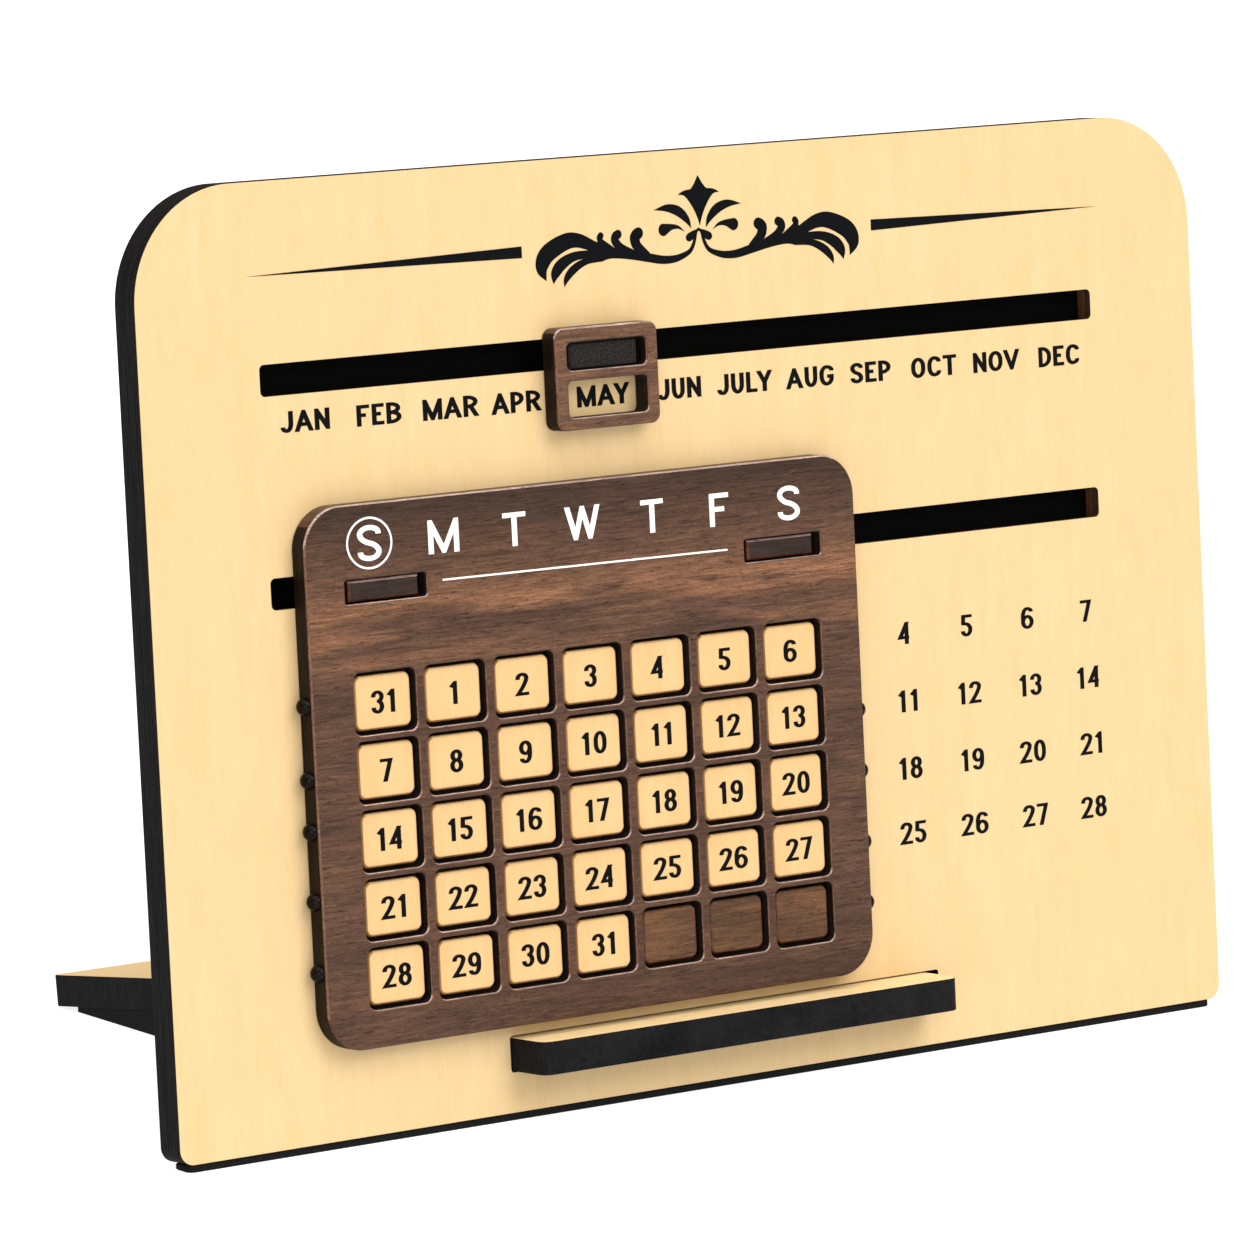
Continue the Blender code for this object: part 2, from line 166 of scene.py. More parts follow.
def makeWalnut(name, tint=(1.0, 1.0, 1.0), offset=(0, 0, 0), roughness=0.45, band=True):
    # Walnut with its grain along the board: soft bands, wavy fibres, fine specks and short dark pores
    material, tree, shader = startMaterial(name, roughness, 0.20)
    fibres = addNoise(tree, (0.0085, 0.0006, 0.0006), 6.0, 0.62, 1.1, offset)
    specks = addNoise(tree, (0.0007, 0.00022, 0.00022), 3.0, 0.65, 0.0, offset)
    clouds = addNoise(tree, (0.045, 0.0065, 0.0065), 3.0, 0.5, 0.8, offset)
    colour = addRamp(tree, fibres, (
        (0.30, (0.056, 0.028, 0.0185)), (0.44, (0.100, 0.053, 0.0355)),
        (0.57, (0.139, 0.075, 0.0490)), (0.74, (0.205, 0.113, 0.0720)),
    ))
    tone = addRamp(tree, clouds, ((0.32, (0.72, 0.73, 0.75)), (0.50, (1.0, 1.0, 1.0)), (0.68, (1.24, 1.20, 1.14))))
    colour = addMix(tree, 1.0, colour, tone, "MULTIPLY")
    grain = addRamp(tree, specks, ((0.32, 0.66), (0.50, 1.0), (0.68, 1.30)))
    colour = addMix(tree, 0.75, colour, grain, "MULTIPLY")
    marks = addNoise(tree, (0.0024, 0.00030, 0.00030), 2.0, 0.5, 0.6, offset)
    pores = addRamp(tree, marks, ((0.31, 0.25), (0.385, 1.0)))
    colour = addMix(tree, 0.85, colour, pores, "MULTIPLY")
    if band:
        # The header is palest above the windows and darkens to the top edge
        rise = addNode(tree, "ShaderNodeSeparateXYZ")
        tree.links.new(boardPoint(tree, (1, 1, 1)), rise.inputs[0])
        wander = addMaths(tree, "MULTIPLY_ADD", clouds, 0.012, rise.outputs["Z"])
        light = addRamp(tree, addMaths(tree, "MULTIPLY", wander, 5.0), (
            (0.130, (0.74, 0.74, 0.75)), (0.190, (0.86, 0.86, 0.87)), (0.4475, (0.80, 0.81, 0.83)),
            (0.460, (1.26, 1.24, 1.18)), (0.4725, (0.76, 0.77, 0.80)), (0.495, (2.10, 1.98, 1.72)),
            (0.517, (1.25, 1.22, 1.14)), (0.540, (0.86, 0.87, 0.89)), (0.590, (0.42, 0.43, 0.46)),
        ))
        colour = addMix(tree, 1.0, colour, light, "MULTIPLY")
    colour = addMix(tree, 1.0, colour, tint, "MULTIPLY")
    tree.links.new(colour, shader.inputs["Base Color"])
    height = addMaths(tree, "MULTIPLY_ADD", pores, 0.8, specks)
    addBump(tree, shader, height, 0.30, 0.00005)
    return material


def makeVeneer(name, light, deep, roughness=0.5, streak=0.5, tilt=1.0):
    # A pale veneer with fine, short upright grain and small flecks
    material, tree, shader = startMaterial(name, roughness, 0.16)
    fine = addNoise(tree, (0.00042, 0.00042, 0.0036), 4.0, 0.6, 0.3)
    wide = addNoise(tree, (0.0036, 0.0036, 0.022), 3.0, 0.55, 0.6)
    flecks = addRamp(tree, addCells(tree, (0.0011, 0.0011, 0.0030)), ((0.06, 1.0), (0.15, 0.0)))
    grain = addMaths(tree, "MULTIPLY_ADD", wide, 0.5 * tilt, addMaths(tree, "MULTIPLY", fine, 0.5))
    colour = addMix(tree, addRamp(tree, grain, ((0.36, 0.0), (0.66, 1.0))), light, deep)
    colour = addMix(tree, addMaths(tree, "MULTIPLY", flecks, 0.35 * streak), colour, tuple(0.86 * part for part in deep))
    tree.links.new(colour, shader.inputs["Base Color"])
    addBump(tree, shader, fine, 0.15, 0.00003)
    return material


def makeCutEdge(name, dark, light, roughness=0.66, specular=0.16, layer=0.0006, depths=None):
    # An edge burnt by the cutting beam: fine streaks that follow the sheet's layers
    material, tree, shader = startMaterial(name, roughness, specular)
    streaks = addNoise(tree, (0.016, layer, 0.016), 5.0, 0.62, 0.35)
    soot = addNoise(tree, (0.0011, 0.0008, 0.0011), 4.0, 0.6)
    value = addMaths(tree, "MULTIPLY_ADD", soot, 0.35, addMaths(tree, "MULTIPLY", streaks, 0.65))
    colour = addRamp(tree, value, ((0.36, dark), (0.66, light)))
    if depths:
        # Both rims of the cut are charred, and the middle of the sheet keeps some brown
        depth = addNode(tree, "ShaderNodeSeparateXYZ")
        tree.links.new(boardPoint(tree, (1, 1, 1)), depth.inputs[0])
        front, back = depths
        part = addMaths(tree, "DIVIDE", addMaths(tree, "SUBTRACT", depth.outputs["Y"], boardFront + front), back - front)
        char = addRamp(tree, part, ((0.0, 0.22), (0.30, 0.75), (0.55, 1.0), (0.82, 0.5), (1.0, 0.15)))
        colour = addMix(tree, 1.0, colour, char, "MULTIPLY")
    tree.links.new(colour, shader.inputs["Base Color"])
    addBump(tree, shader, value, 0.35, 0.00008)
    return material


def makeSpeckled(name, dark, light, grain, roughness, specular, strength=0.4):
    # Felt-like or rubbery black with fine specks
    material, tree, shader = startMaterial(name, roughness, specular)
    specks = addNoise(tree, (grain, grain, grain), 5.0, 0.75)
    colour = addRamp(tree, specks, ((0.40, dark), (0.66, light)))
    tree.links.new(colour, shader.inputs["Base Color"])
    addBump(tree, shader, specks, strength, grain * 0.2)
    return material


def makeInk(name, dark, light, roughness, specular):
    # A printed film, a little thinner where the wood's fibres show through
    material, tree, shader = startMaterial(name, roughness, specular)
    cover = addNoise(tree, (0.0007, 0.0007, 0.0022), 4.0, 0.6)
    tree.links.new(addRamp(tree, cover, ((0.35, dark), (0.72, light))), shader.inputs["Base Color"])
    addBump(tree, shader, cover, 0.15, 0.00002)
    return material


boardFront = (boardAxes @ Vector((0, 0, 0))).y    # the board's face, as the patterns see it
walnutWood = makeWalnut("walnut_wood", (0.745, 0.68, 0.61))
walnutMarker = makeWalnut("walnut_marker", (0.98, 0.89, 0.79), (0.031, 0.012, 0.044), band=False)
walnutBlank = makeWalnut("walnut_blank", (0.85, 0.74, 0.51), (0.083, 0.027, 0.019), band=False)
# A walnut that is painted light on the upper outer walls and painted shade on window rims turned away from the light
litWallShadedRim = makeWalnut("painted_lit_wall_shaded_rim", (0.58, 0.54, 0.52), (0.02, 0.05, 0.09), band=False)
# Painted highlights for the eased rims that face up and to the left, a full one and a weaker one
highlightRim = makeWalnut("painted_highlight_rim", (3.1, 4.2, 5.6), (0.05, 0.0, 0.06), 0.28, band=False)
halfHighlightRim = makeWalnut("painted_half_highlight_rim", (1.15, 1.06, 1.05), (0.05, 0.0, 0.06), 0.32, band=False)
darkWalnut = makeWalnut("dark_walnut_wood", (0.22, 0.215, 0.245), (0.11, 0.04, 0.05), 0.42, band=False)
# A darker, reddish walnut for the left and lower rims: painted shade
shadedRedEdge = makeWalnut("painted_shade_red_edge", (0.80, 0.46, 0.30), (0.12, 0.03, 0.05), 0.36, band=False)
creamFace = makeVeneer("cream_face", (0.622, 0.462, 0.255), (0.592, 0.420, 0.207))
# A lighter cream for faces turned up: painted light from above
litCreamTop = makeVeneer("painted_lit_cream_top", (0.84, 0.63, 0.345), (0.80, 0.57, 0.28))
mapleFace = makeVeneer("maple_face", (0.640, 0.433, 0.216), (0.605, 0.390, 0.176), 0.44, 0.7, 1.2)
mapleSide = makeCutEdge("maple_side", (0.13, 0.055, 0.016), (0.42, 0.215, 0.080), 0.55, 0.20, 0.0003)
# A darker golden edge with burnt streaks for the tiles' left and lower rims: painted shade
shadedGoldenRim = makeCutEdge("painted_shade_golden_rim", (0.22, 0.095, 0.025), (0.44, 0.235, 0.080), 0.45, 0.20, 0.0004)
blackEdge = makeCutEdge("black_edge", (0.0023, 0.0023, 0.0030), (0.0130, 0.0125, 0.0142), 0.62, 0.05)
blackSheet = makeSpeckled("black_sheet", (0.0026, 0.0024, 0.0028), (0.0072, 0.0068, 0.0073), 0.0012, 0.7, 0.10)
# A darker black for the back sheet's face seen through the slots: painted shade in the slots
shadedSlotFloor = makeSpeckled("painted_shade_slot_floor", (0.0006, 0.0006, 0.0006), (0.0016, 0.0015, 0.0015), 0.0012, 0.8, 0.04)
slotWall = makeCutEdge("slot_wall", (0.014, 0.008, 0.006), (0.052, 0.032, 0.024), 0.7, 0.1)
coreEdge = makeCutEdge("core_edge", (0.045, 0.020, 0.009), (0.130, 0.060, 0.026), 0.75, 0.1, 0.0005)
walnutSide = makeCutEdge("walnut_side", (0.018, 0.0095, 0.0060), (0.088, 0.050, 0.028), 0.5, 0.08, 0.0007, (-0.0043, -0.0003))
windowWall = makeCutEdge("window_wall", (0.0048, 0.0031, 0.0026), (0.022, 0.0138, 0.0102), 0.5, 0.10, 0.0006)
charcoalBlock = makeSpeckled("charcoal_block", (0.0080, 0.0075, 0.0071), (0.033, 0.030, 0.0275), 0.00042, 0.85, 0.06, 0.6)
rubberStrip = makeSpeckled("rubber_strip", (0.0030, 0.0030, 0.0032), (0.008, 0.008, 0.0084), 0.0004, 0.8, 0.12)
blackInk = makeInk("black_ink", (0.0016, 0.0022, 0.0031), (0.0031, 0.0040, 0.0055), 0.5, 0.05)
whiteInk = makeInk("white_ink", (0.82, 0.80, 0.79), (0.72, 0.70, 0.69), 0.45, 0.25)
studMetal = makeSpeckled("stud_metal", (0.0022, 0.0017, 0.0014), (0.0085, 0.0055, 0.0038), 0.0006, 0.24, 0.07, 0.0)
print("materials made")


# Building tools


def temporaryObject(shape):
    mesh = bpy.data.meshes.new("temporary")
    shape.to_mesh(mesh)
    item = bpy.data.objects.new("temporary", mesh)
    scene.collection.objects.link(item)
    return item


def takeOut(shape, others):
    # Takes other closed shapes out of a shape and frees them all
    solid = temporaryObject(shape)
    tools = [temporaryObject(other) for other in others]
    for tool in tools:
        step = solid.modifiers.new("step", "BOOLEAN")
        step.operation = "DIFFERENCE"
        step.solver = "EXACT"
        step.object = tool
    bpy.context.view_layer.update()
    result = bmesh.new()
    result.from_object(solid, bpy.context.evaluated_depsgraph_get())
    for item in (solid, *tools):
        mesh = item.data
        bpy.data.objects.remove(item)
        bpy.data.meshes.remove(mesh)
    for used in (shape, *others):
        used.free()
    bmesh.ops.remove_doubles(result, verts=result.verts[:], dist=mergeDistance)
    return result


def gather(shapes):
    # Puts closed shapes into one mesh as they are, and frees them
    whole = bmesh.new()
    for shape in shapes:
        mesh = bpy.data.meshes.new("gathered")
        shape.to_mesh(mesh)
        shape.free()
        whole.from_mesh(mesh)
        bpy.data.meshes.remove(mesh)
    return whole


def addRing(shape, width, height, corner, depth, middle=(0, 0), steps=6):
    """Adds a face round a rounded rectangle that stands at a depth in the board."""
    kept = set(shape.verts)
    corners = bmesh.ops.create_grid(shape, x_segments=1, y_segments=1, size=0.5)["verts"]
    bmesh.ops.scale(shape, vec=(width, height, 1), verts=corners)
    bmesh.ops.rotate(shape, cent=(0, 0, 0), matrix=Matrix.Rotation(math.pi / 2, 3, "X"), verts=corners)
    bmesh.ops.translate(shape, vec=(middle[0], depth, middle[1]), verts=corners)
    radii = corner if isinstance(corner, tuple) else (corner, corner)
    for radius, end in zip(radii, (1, -1)):
        pair = [vert for vert in shape.verts if vert not in kept and vert in corners
                and (vert.co.z - middle[1]) * end > 0]
        bmesh.ops.bevel(shape, geom=pair, offset=radius, segments=steps, profile=0.5,
                        affect="VERTICES", material=-1)
        corners = [vert for vert in corners if vert.is_valid]
    return [vert for vert in shape.verts if vert not in kept]


def makePlate(width, height, corner, back, front, middle=(0, 0), steps=6, rim=0, rimSteps=3):
    """A flat plate with round corners whose front edge is eased by a round bevel."""
    shape = bmesh.new()
    addRing(shape, width, height, corner, back, middle, steps)
    raised = bmesh.ops.extrude_face_region(shape, geom=shape.faces[:])["geom"]
    moved = [part for part in raised if isinstance(part, bmesh.types.BMVert)]
    bmesh.ops.translate(shape, vec=(0, front - back, 0), verts=moved)
    bmesh.ops.recalc_face_normals(shape, faces=shape.faces[:])
    if rim:
        easeEdges(shape, frontEdges(shape, front), rim, rimSteps)
    return shape


def frontEdges(shape, depth):
    return [edge for edge in shape.edges if all(abs(vert.co.y - depth) < mergeDistance for vert in edge.verts)]


def easeEdges(shape, edges, offset, segments):
    bmesh.ops.bevel(shape, geom=edges, offset=offset, segments=segments, profile=0.5,
                    affect="EDGES", material=-1)


def makeWindowCutter(width, height, corner, back, front, middle, rim, overrun=0.001):
    """The shape that cuts a window whose front rim is rounded over."""
    angles = [0, math.radians(30), math.radians(60), math.radians(90)]
    sections = [(back + overrun, 0)] + [(front + rim * (1 - math.sin(a)), rim * (1 - math.cos(a))) for a in angles]
    lastDepth, lastSpread = sections[-1]
    nextDepth, nextSpread = sections[-2]
    sections[-1] = (2 * lastDepth - nextDepth, 2 * lastSpread - nextSpread)
    shape = bmesh.new()
    rings = []
    for depth, spread in sections:
        known = set(shape.edges)
        addRing(shape, width + 2 * spread, height + 2 * spread, corner + spread, depth, middle, 5)
        rings.append([edge for edge in shape.edges if edge not in known])
    inner = [face for face in shape.faces if mergeDistance < abs(face.calc_center_median().y - (back + overrun))
             and abs(face.calc_center_median().y - sections[-1][0]) > mergeDistance]
    bmesh.ops.delete(shape, geom=inner, context="FACES_ONLY")
    for near, far in zip(rings, rings[1:]):
        bmesh.ops.bridge_loops(shape, edges=near + far)
    bmesh.ops.recalc_face_normals(shape, faces=shape.faces[:])
    return shape


def copyNode(node):
    """A copy of a CAD solid in the board's own axes, its triangles merged into whole faces."""
    shape = bmesh.new()
    shape.from_mesh(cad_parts[node].data)
    bmesh.ops.remove_doubles(shape, verts=shape.verts[:], dist=mergeDistance)
    bmesh.ops.transform(shape, matrix=boardAxes, verts=shape.verts[:])
    bmesh.ops.dissolve_limit(shape, angle_limit=math.radians(0.5), verts=shape.verts[:], edges=shape.edges[:])
    return shape


def easeSharp(shape, offset, segments=2, angle=35):
    sharp = [edge for edge in shape.edges
             if edge.is_manifold and edge.calc_face_angle() > math.radians(angle)]
    easeEdges(shape, sharp, offset, segments)


def finishPiece(shape, name, body, materials, pick=None, nodes=(), sharp=40, weighted=True):
    """Puts a shape in the board's axes on the board and makes it a finished piece."""
    for face in shape.faces:
        face.smooth = True
        face.material_index = pick(face) if pick else 0
    bmesh.ops.transform(shape, matrix=boardPlace, verts=shape.verts[:])
    mesh = bpy.data.meshes.new(name)
    shape.to_mesh(mesh)
    shape.free()
    for material in materials:
        mesh.materials.append(material)
    mesh.set_sharp_from_angle(angle=math.radians(sharp))
    piece = bpy.data.objects.new(name, mesh)
    scene.collection.objects.link(piece)
    if weighted:
        shading = piece.modifiers.new("even_shading", "WEIGHTED_NORMAL")
        shading.keep_sharp = True
    if nodes:
        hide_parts(*nodes)
    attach(piece, body)
    return piece


def facing(face):
    """0 on the front, 1 on an eased edge, 2 on a side and 3 on the back."""
    forward = -face.normal.y
    if forward > 0.97:
        return 0
    if forward > 0.15:
        return 1
    return 2 if forward > -0.9 else 3


# Board


def makeLayer(name, node, front, thickness, cutters, materials, pick, rim=0):
    shape = makePlate(board["width"], board["height"], (board["topCorner"], board["bottomCorner"]),
                      front + thickness, front, (0, board["height"] / 2), board["cornerSteps"], rim, 2)
    width, height, corner, middle = board["ledgeHole"]
    past = 0.001
    holes = [makePlate(width, height, corner, front + thickness + past, front - past, middle, 4)]
    for cutWidth, cutHeight, cutCorner, place in cutters:
        holes.append(makePlate(cutWidth, cutHeight, cutCorner, front + thickness + past, front - past, place))
    shape = takeOut(shape, holes)
    return finishPiece(shape, name, "stand", materials, pick, [node])


def pickFace(face):
    # Veneer on the front, a bright rim round it, black cut walls and brown walls in the slots
    side = facing(face)
    if side < 2:
        return 0
    middle = face.calc_center_median()
    inside = abs(middle.x) < board["slotWidth"] / 2 + 0.002 and 0.09 < middle.z < 0.16
    return 2 if inside and side == 2 else 1


def pickCore(face):
    # Black round the board and brown where the channels are cut
    middle = face.calc_center_median()
    inside = abs(middle.x) < board["slotWidth"] / 2 + 0.002 and 0.09 < middle.z < 0.16
    return 1 if inside else 0


coreFront = board["faceThickness"] + board["glueLine"]
coverFront = coreFront + board["coreThickness"] + board["glueLine"]
slots = [(board["slotWidth"], board["slotHeight"], board["slotCorner"], (0, rise)) for rise in board["slotRises"]]
channels = [(board["slotWidth"], board["slotHeight"] + 2 * board["channelLip"], board["slotCorner"], (0, rise))
            for rise in board["slotRises"]]
ribMortise = {"width": 0.007, "height": 0.0024, "corner": 0.0003, "side": 0.0601, "rise": 0.0167}
mortises = [(ribMortise["width"], ribMortise["height"], ribMortise["corner"], (side * ribMortise["side"], ribMortise["rise"]))
            for side in (-1, 1)]
makeLayer("veneered_face", "front_panel", 0, board["faceThickness"], slots, [creamFace, blackEdge, slotWall], pickFace,
          board["rim"])
makeLayer("core_layer", "channel_core", coreFront, board["coreThickness"], channels, [blackEdge, coreEdge], pickCore)
# The back sheet's front face, seen only through the slots, takes the darker black: painted shade
makeLayer("back_layer", "back_cover", coverFront, board["coverThickness"], mortises, [blackSheet, blackEdge, shadedSlotFloor],
          lambda face: 1 if abs(face.normal.y) < 0.9 else 2 if face.normal.y < 0 else 0)
print("board made")


# Feet: the strip, the ledge plate, the sloping foot and its ribs

feet = {
    "ease": 0.00022,
    "ledgeWidth": 0.100,
    "ledgeReach": 0.0105,
    "ledgeNose": 0.0025,
    "ledgeBottom": 0.0079,
    "sheet": 0.0064,
    "shoulderWidth": 0.126,
    "shoulderFront": 0.0067,
    "shoulderBack": 0.0287,
}

strip = copyNode("base_strip")
easeSharp(strip, 0.0002, 2, 50)
finishPiece(strip, "foot_strip", "stand", [rubberStrip], None, ["base_strip"])

ledge = bmesh.new()
outline = [
    (-feet["ledgeWidth"] / 2, -feet["ledgeReach"]), (feet["ledgeWidth"] / 2, -feet["ledgeReach"]),
    (feet["ledgeWidth"] / 2, feet["shoulderFront"]), (feet["shoulderWidth"] / 2, feet["shoulderFront"]),
    (feet["shoulderWidth"] / 2, feet["shoulderBack"]), (-feet["shoulderWidth"] / 2, feet["shoulderBack"]),
    (-feet["shoulderWidth"] / 2, feet["shoulderFront"]), (-feet["ledgeWidth"] / 2, feet["shoulderFront"]),
]
corners = [ledge.verts.new((x, y, feet["ledgeBottom"])) for x, y in outline]
ledge.faces.new(corners)
bmesh.ops.bevel(ledge, geom=corners[:2], offset=feet["ledgeNose"], segments=8, profile=0.5,
                affect="VERTICES", material=-1)
raised = bmesh.ops.extrude_face_region(ledge, geom=ledge.faces[:])["geom"]
bmesh.ops.translate(ledge, vec=(0, 0, feet["sheet"]),
                    verts=[part for part in raised if isinstance(part, bmesh.types.BMVert)])
bmesh.ops.recalc_face_normals(ledge, faces=ledge.faces[:])
easeEdges(ledge, [edge for edge in ledge.edges if edge.calc_face_angle() > math.radians(60)], feet["ease"], 2)
# Faces turned up take the lighter cream: painted light from above
finishPiece(ledge, "ledge_board", "stand", [litCreamTop, blackEdge], lambda face: 0 if face.normal.z > 0.92 else 1,
            ["ledge_plate"])

foot = copyNode("foot_plate")
easeSharp(foot, feet["ease"], 2, 50)
# Faces turned up take the lighter cream: painted light from above
finishPiece(foot, "foot_board", "stand", [litCreamTop, blackEdge], lambda face: 0 if face.normal.z > 0.92 else 1,
            ["foot_plate"])

for node, name in (("rib_left", "left_rib"), ("rib_right", "right_rib")):
    rib = copyNode(node)
    easeSharp(rib, 0.00015, 2, 50)
    finishPiece(rib, name, "stand", [blackSheet], None, [node])
print("feet made")


# Sliding walnut pieces

walnutSheet = {"back": -0.0003, "front": -0.0043, "rim": 0.00045, "windowRim": 0.0003}


def pickSheet(face, inside):
    # Painted highlights on the rims that face up and to the left, weaker ones where they half face that way, a lighter
    # upper wall as painted light from above, painted shade on window rims that face down and right, charred outer walls
    # and darker window walls
    side = facing(face)
    if side == 1:
        # How far an eased rim faces up and to the left, towards the light: this picks its painted highlight or, inside
        # a window, its painted shade
        lightFacing = face.normal.z - 0.35 * face.normal.x
        return 1 if lightFacing > 0.42 else 4 if lightFacing > 0.12 else 5 if inside else 0
    if side != 2:
        return 0
    if inside:
        return 3
    # An upper outer wall takes the lighter walnut: painted light from above
    return 5 if face.normal.z > 0.6 else 2


def runnerWindow(width, height, corner, middle):
    return makeWindowCutter(width, height, corner, walnutSheet["back"], walnutSheet["front"], middle,
                            walnutSheet["windowRim"])


marker = {
    "width": 0.0239, "height": 0.0193, "corner": 0.0019, "x": -0.0231, "top": 0.1465,
    "windowWidth": 0.0185, "windowCorner": 0.0011,
    "windows": ((0.0053, 0.0028), (0.0070, 0.0100)),     # height, and how far below the top edge
}
markerMiddle = (marker["x"], marker["top"] - marker["height"] / 2)
shape = makePlate(marker["width"], marker["height"], marker["corner"], walnutSheet["back"], walnutSheet["front"],
                  markerMiddle, 8, walnutSheet["rim"], 4)
shape = takeOut(shape, [
    runnerWindow(marker["windowWidth"], height, marker["windowCorner"], (marker["x"], marker["top"] - drop - height / 2))
    for height, drop in marker["windows"]
])


def pickMarker(face):
    middle = face.calc_center_median()
    inside = abs(middle.x - marker["x"]) < marker["windowWidth"] / 2 + 0.0005 \
        and abs(middle.z - markerMiddle[1]) < marker["height"] / 2 - 0.0015
    return pickSheet(face, inside)


finishPiece(shape, "marker_walnut", "month_slide", [walnutMarker, highlightRim, walnutSide, windowWall, halfHighlightRim, litWallShadedRim], pickMarker,
            ["month_marker"])

block = copyNode("month_runner")
easeSharp(block, 0.0001, 2, 40)
finishPiece(block, "marker_block", "month_slide", [charcoalBlock], None, ["month_runner"])

weekFrame = {
    "x": -0.0299, "bottom": 0.0169, "width": 0.12795, "height": 0.1009, "corner": 0.008,
    "columns": 7, "rows": 5, "columnPitch": 0.01585, "rowPitch": 0.01275, "gridBottom": 0.02345,
    "windowWidth": 0.0140, "windowHeight": 0.01165, "windowCorner": 0.0015,
    "mortiseWidth": 0.0184, "mortiseHeight": 0.0045, "mortiseCorner": 0.0006,
    "mortiseSpread": 0.0462, "mortiseRises": (0.1017, 0.1010),
    "pocket": (0.11755, 0.07035, 0.0015, 0.0011),        # width, height, corner and depth
    "studHole": 0.0009, "studHoleDepth": 0.0043, "studDepth": -0.0021,
}
leftStuds = {1: 0.0006, 2: -0.0003, 3: 0.0029, 4: 0.0027, 5: 0.0022}      # row, and rise from its middle
rightStuds = {2: -0.0003, 3: 0.0006, 4: -0.0005, 5: 0.0004}


def cellMiddle(row, column):
    across = weekFrame["x"] + (column - (weekFrame["columns"] + 1) / 2) * weekFrame["columnPitch"]
    return across, weekFrame["gridBottom"] + (weekFrame["rows"] - row + 0.5) * weekFrame["rowPitch"]


def studPlaces():
    for side, lifts, name in ((-1, leftStuds, "left"), (1, rightStuds, "right")):
        for row, lift in lifts.items():
            edge = (weekFrame["x"] + side * weekFrame["width"] / 2, weekFrame["studDepth"],
                    cellMiddle(row, 1)[1] + lift)
            yield f"{name}_{row}", Matrix.Translation(edge) @ Matrix.Rotation(side * math.pi / 2, 4, "Y")


frameMiddle = (weekFrame["x"], weekFrame["bottom"] + weekFrame["height"] / 2)
shape = makePlate(weekFrame["width"], weekFrame["height"], weekFrame["corner"], walnutSheet["back"],
                  walnutSheet["front"], frameMiddle, 18, walnutSheet["rim"], 4)
cutters = [
    runnerWindow(weekFrame["windowWidth"], weekFrame["windowHeight"], weekFrame["windowCorner"], cellMiddle(row, column))
    for row in range(1, weekFrame["rows"] + 1) for column in range(1, weekFrame["columns"] + 1)
]
for side, rise in zip((-1, 1), weekFrame["mortiseRises"]):
    cutters.append(runnerWindow(weekFrame["mortiseWidth"], weekFrame["mortiseHeight"], weekFrame["mortiseCorner"],
                                (weekFrame["x"] + side * weekFrame["mortiseSpread"], rise)))
allCutters = gather(cutters)
pocketWidth, pocketHeight, pocketCorner, pocketDepth = weekFrame["pocket"]
gridMiddle = (weekFrame["x"], weekFrame["gridBottom"] + weekFrame["rows"] * weekFrame["rowPitch"] / 2)
pocket = makePlate(pocketWidth, pocketHeight, pocketCorner, walnutSheet["back"] + 0.001,
                   walnutSheet["back"] - pocketDepth, gridMiddle)
bores = bmesh.new()
for name, place in studPlaces():
    hole = Matrix.Translation((0, 0, (0.001 - weekFrame["studHoleDepth"]) / 2))
    bmesh.ops.create_cone(bores, cap_ends=True, segments=16, radius1=weekFrame["studHole"],
                          radius2=weekFrame["studHole"], depth=weekFrame["studHoleDepth"] + 0.001, matrix=place @ hole)
shape = takeOut(shape, [allCutters, pocket, bores])


def pickFrame(face):
    middle = face.calc_center_median()
    inside = abs(middle.x - weekFrame["x"]) < weekFrame["width"] / 2 - 0.0075 \
        and weekFrame["bottom"] + 0.005 < middle.z < weekFrame["bottom"] + weekFrame["height"] - 0.008
    return pickSheet(face, inside)


finishPiece(shape, "frame_walnut", "week_slide", [walnutWood, highlightRim, walnutSide, windowWall, halfHighlightRim, litWallShadedRim], pickFrame,
            ["week_frame"])

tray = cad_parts["tile_tray"]
for materialSlot in tray.material_slots:
    materialSlot.link = "OBJECT"
    materialSlot.material = windowWall



def pickBlock(face):
    # The front, the rims that catch the light in a painted highlight, and the reddish left rim and the brown lower one
    # in painted shade
    if face.calc_center_median().y > -0.0028 or facing(face) != 1:
        return 0
    if face.normal.z > 0.2:
        return 2
    return 1 if face.normal.x < -0.2 or face.normal.z < -0.2 else 0


for node, name in (("week_runner_left", "left_block"), ("week_runner_right", "right_block")):
    block = copyNode(node)
    easeSharp(block, 0.0001, 2, 30)
    finishPiece(block, name, "week_slide", [darkWalnut, shadedRedEdge, highlightRim], pickBlock, [node])
print("sliding pieces made")

stud = {"radius": 0.0017, "shank": 0.0006, "length": 0.004, "proud": 0.0001, "steps": 10, "turns": 32}
for name, place in studPlaces():
    shape = bmesh.new()
    profile = [(0, -stud["length"]), (stud["shank"], -stud["length"]), (stud["shank"], stud["proud"])]
    for step in range(stud["steps"] + 1):
        angle = math.pi / 2 * step / stud["steps"]
        profile.append((stud["radius"] * math.cos(angle), stud["proud"] + stud["radius"] * math.sin(angle)))
    corners = [shape.verts.new((radius, 0, along)) for radius, along in profile]
    edges = [shape.edges.new(pair) for pair in zip(corners, corners[1:])]
    bmesh.ops.spin(shape, geom=corners + edges, axis=(0, 0, 1), cent=(0, 0, 0), angle=2 * math.pi,
                   steps=stud["turns"], use_merge=True)
    bmesh.ops.remove_doubles(shape, verts=shape.verts[:], dist=mergeDistance)
    bmesh.ops.recalc_face_normals(shape, faces=shape.faces[:])
    bmesh.ops.transform(shape, matrix=place, verts=shape.verts[:])
    finishPiece(shape, f"stud_head_{name}", "week_slide", [studMetal], None, [f"stud_{name}"], 50, False)
print("studs made")


# Tiles

